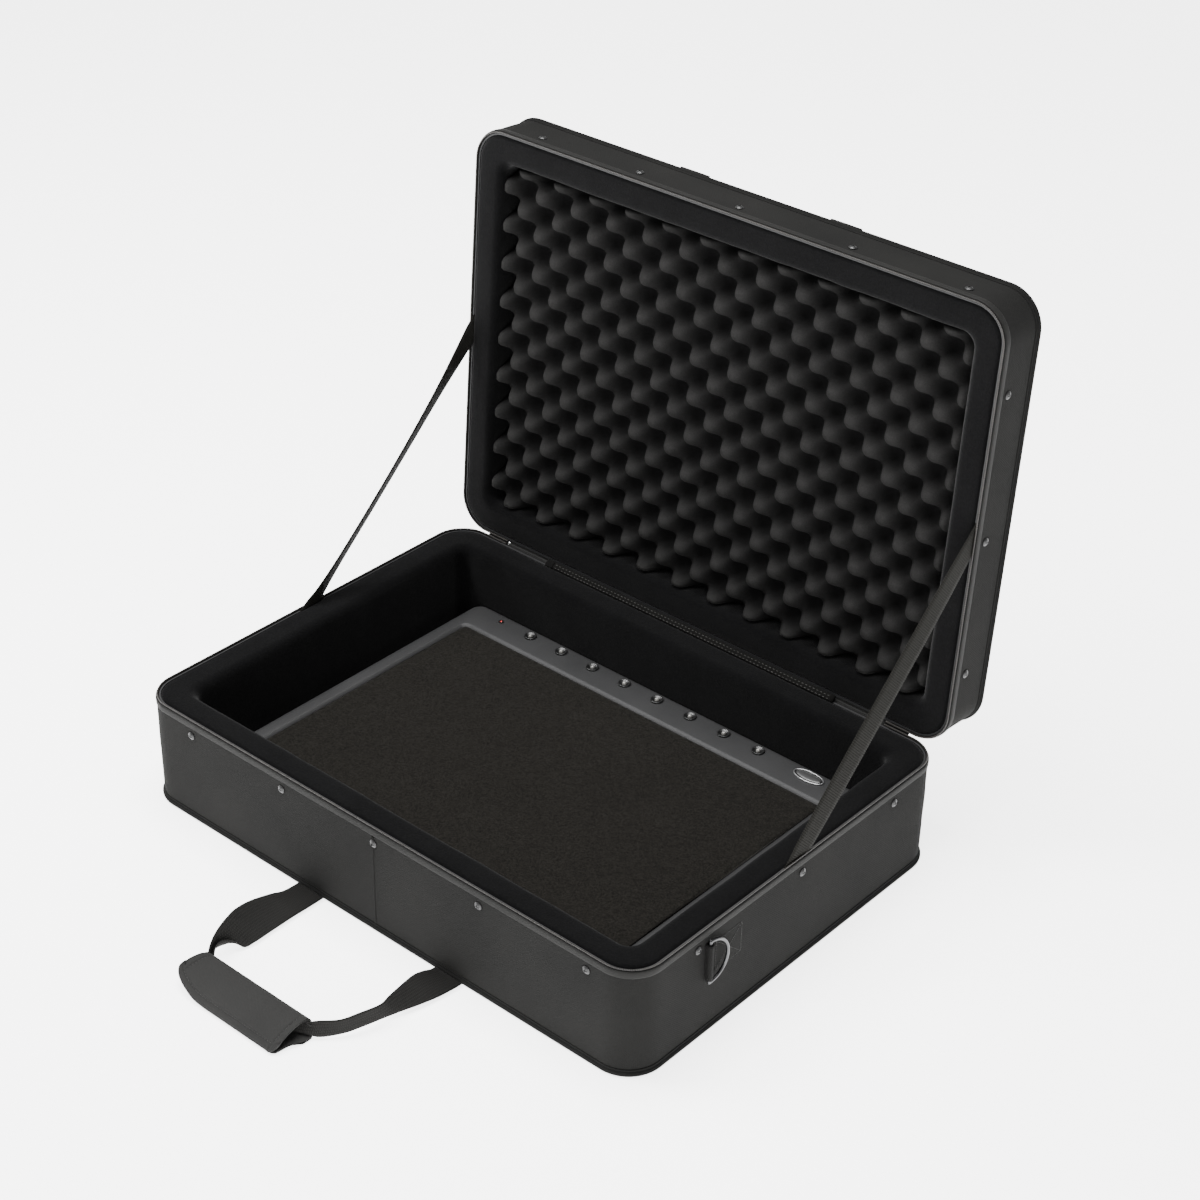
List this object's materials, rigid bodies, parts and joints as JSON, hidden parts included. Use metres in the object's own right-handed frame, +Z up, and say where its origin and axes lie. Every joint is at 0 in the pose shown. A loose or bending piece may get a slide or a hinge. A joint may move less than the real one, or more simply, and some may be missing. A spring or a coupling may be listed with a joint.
{
  "type": "guitar pedal case",
  "caption": "Soft-sided zipped carrying case, open, with foam-lined trays, webbing handle and a carpeted pedal board.",
  "frame": {"origin": "centre of the underside of the base tray", "axes": "+X to the right, +Y towards the hinge at the back, +Z up"},
  "size_m": [0.7154, 0.8131, 0.6276],
  "materials": {
    "woven_nylon": "matte",
    "edge_piping": "matte",
    "rim_binding": "satin",
    "zipper": "matte",
    "stiff_sheet": "matte",
    "liner_plush": "matte",
    "open_foam": "matte",
    "screw_black": "satin",
    "webbing": "matte",
    "grip_pad": "matte",
    "hinge_fabric": "matte",
    "stay_webbing": "matte",
    "tab_webbing": "matte",
    "ring_wire": "satin",
    "slider_metal": "satin",
    "board_plastic": "matte",
    "carpet": "matte",
    "foot_rubber": "matte",
    "circuit": "satin",
    "jack_plastic": "satin",
    "jack_pin": "polished",
    "lamp_red": "gloss",
    "plate_metal": "satin"
  },
  "bodies": {
    "base_tray": {"base_skin": "woven_nylon", "base_piping": "edge_piping", "base_rim_binding": "rim_binding", "base_zipper": "zipper", "base_wall_sheet": "stiff_sheet", "base_floor_board": "stiff_sheet", "base_foam_liner": "liner_plush", "base_floor_pad": "liner_plush", "base_screws": "screw_black", "handle_anchors_base": "webbing", "hinge_web": "hinge_fabric", "hinge_facing": "edge_piping", "stay_left": "stay_webbing", "stay_right": "stay_webbing", "ring_tab_left": "tab_webbing", "ring_tab_right": "tab_webbing", "slider_left": "slider_metal", "slider_right": "slider_metal"},
    "lid_tray": {"lid_skin": "woven_nylon", "lid_piping": "edge_piping", "lid_rim_binding": "rim_binding", "lid_zipper": "zipper", "lid_wall_sheet": "stiff_sheet", "lid_top_board": "stiff_sheet", "lid_foam_frame": "liner_plush", "lid_egg_foam": "open_foam", "lid_screws": "screw_black", "handle_anchors_lid": "webbing"},
    "pedal_board": {"board_deck": "board_plastic", "board_carpet": "carpet", "board_bottom_cover": "board_plastic", "board_cover_screws": "screw_black", "board_feet": "foot_rubber", "board_circuit": "circuit", "board_jacks": "jack_plastic", "board_jack_nuts": "jack_plastic", "board_jack_pins": "jack_pin", "board_lamp": "lamp_red", "board_lamp_bezel": "jack_plastic", "board_name_plate": "plate_metal"},
    "front_handle": {"base_handle_webbing": "webbing", "base_handle_grip": "grip_pad"},
    "top_handle": {"lid_handle_webbing": "webbing"},
    "left_ring": {"ring_left": "ring_wire"},
    "right_ring": {"ring_right": "ring_wire"},
    "left_pull": {"pull_left": "slider_metal"},
    "right_pull": {"pull_right": "slider_metal"}
  },
  "joints": [
    {"name": "lid", "type": "hinge", "parent": "base_tray", "child": "lid_tray", "pos_m": [0, 0.2475, 0.1327], "axis": [-1, 0, 0], "range_deg": [-93.8, 0], "deforming": ["stay_left", "stay_right", "hinge_web", "hinge_facing"]},
    {"name": "board_lift", "type": "slide", "parent": "base_tray", "child": "pedal_board", "axis": [0, 0, 1], "range_m": [0, 0.2]},
    {"name": "front_handle", "type": "hinge", "parent": "base_tray", "child": "front_handle", "pos_m": [0.01, -0.2509, 0.0026], "axis": [-1, 0, 0], "range_deg": [0, 75]},
    {"name": "top_handle", "type": "hinge", "parent": "lid_tray", "child": "top_handle", "pos_m": [0.01, 0.34648, 0.62552], "axis": [1, 0, 0], "range_deg": [-3, 176]},
    {"name": "left_ring", "type": "hinge", "parent": "base_tray", "child": "left_ring", "pos_m": [-0.354, -0.1415, 0.0915], "axis": [0, 0, 1], "range_deg": [0, 170]},
    {"name": "right_ring", "type": "hinge", "parent": "base_tray", "child": "right_ring", "pos_m": [0.354, -0.1415, 0.0915], "axis": [0, 0, -1], "range_deg": [0, 170]},
    {"name": "left_pull", "type": "hinge", "parent": "base_tray", "child": "left_pull", "pos_m": [-0.281, 0.2535, 0.1264], "axis": [1, 0, 0], "range_deg": [0, 85]},
    {"name": "right_pull", "type": "hinge", "parent": "base_tray", "child": "right_pull", "pos_m": [0.281, 0.2535, 0.1264], "axis": [1, 0, 0], "range_deg": [0, 85]}
  ]
}
